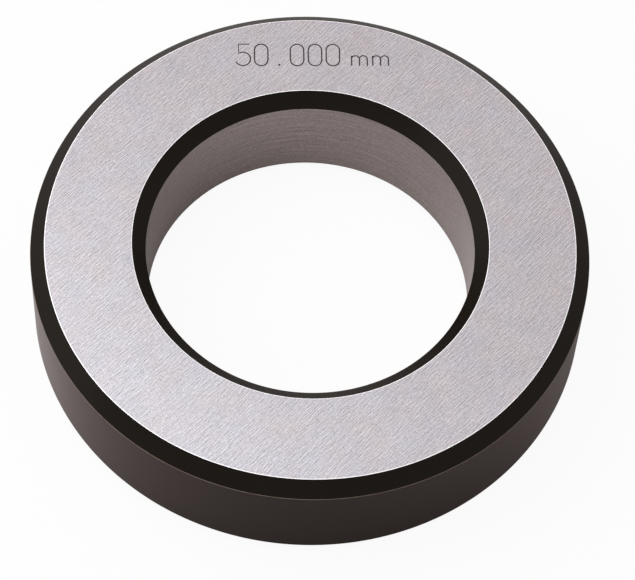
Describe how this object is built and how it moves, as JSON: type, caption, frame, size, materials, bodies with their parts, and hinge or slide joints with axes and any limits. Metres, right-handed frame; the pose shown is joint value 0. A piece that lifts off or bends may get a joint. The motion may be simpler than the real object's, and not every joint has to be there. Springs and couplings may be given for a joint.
{
  "type": "setting ring gauge",
  "caption": "Plain steel setting ring with a lapped bore, ground faces and bevelled corners, used as the size standard for setting bore gauges.",
  "frame": {"origin": "where the bore axis meets the lower ground face", "axes": "+Z along the bore axis, from the lower face to the marked upper face"},
  "size_m": [0.085, 0.085, 0.02],
  "materials": {
    "ring_steel": "ground faces, lapped bore, blackened bevels and outside"
  },
  "bodies": {
    "root": {"ring": "ring_steel"}
  },
  "joints": []
}
